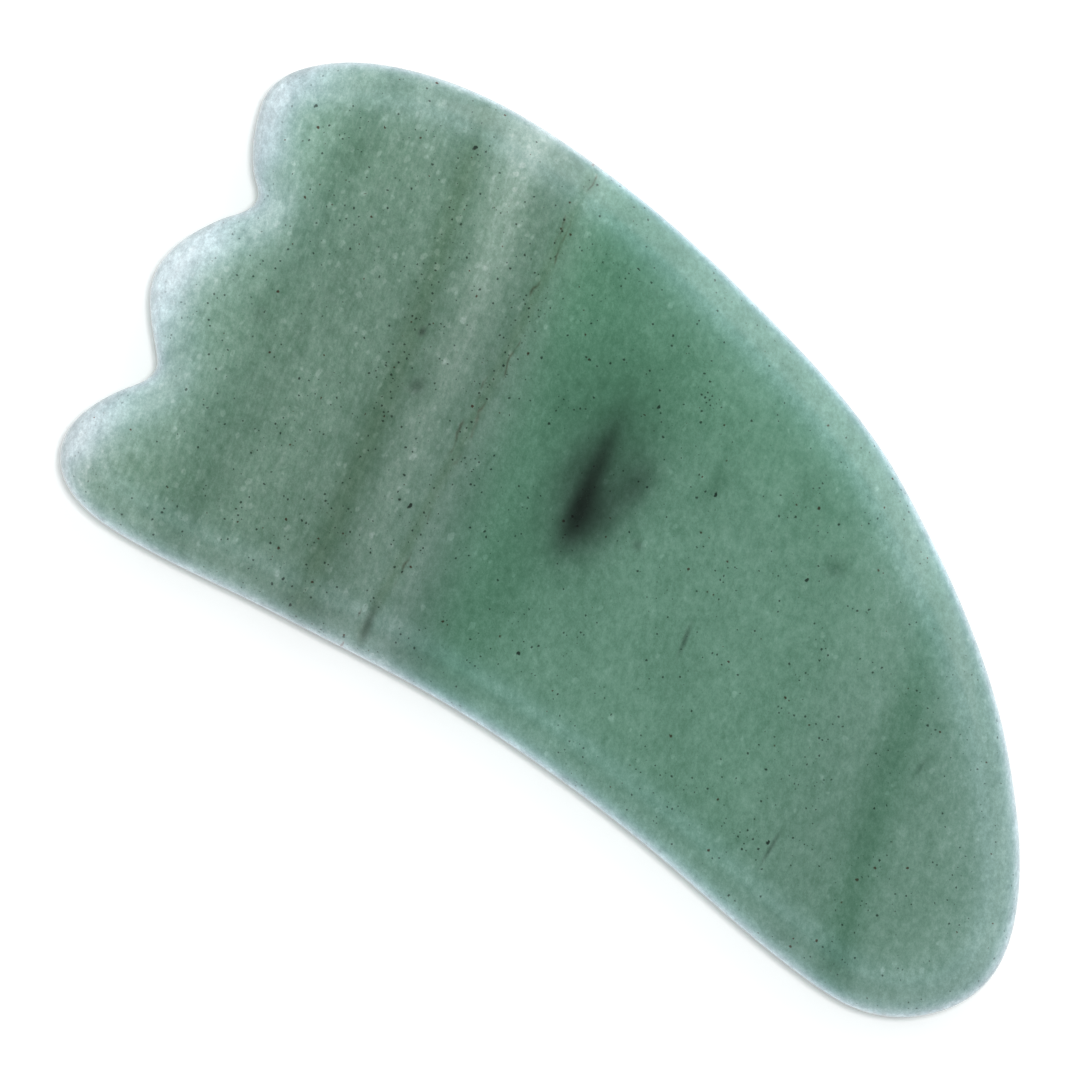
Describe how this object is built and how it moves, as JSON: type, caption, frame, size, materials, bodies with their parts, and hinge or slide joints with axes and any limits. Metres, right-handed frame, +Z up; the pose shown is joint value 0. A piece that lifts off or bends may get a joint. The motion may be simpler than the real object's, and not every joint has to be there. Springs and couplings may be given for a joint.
{
  "type": "gua sha scraper",
  "caption": "Hand-held gua sha massage plate of polished green stone, with an arched back, a hollow belly, a round nose and a toothed end.",
  "frame": {"origin": "under the middle of the plate's length and width, on the surface that it lies on", "axes": "+X from the toothed end to the round nose, +Y from the hollow belly to the arched back, +Z up out of the upper flat face"},
  "size_m": [0.105, 0.055, 0.006],
  "materials": {
    "green_stone": "polished green aventurine with paler cross bands, fine dark specks, a smoky dark inclusion and pale translucent edges"
  },
  "bodies": {
    "root": {"stone_plate": "green_stone"}
  },
  "joints": []
}
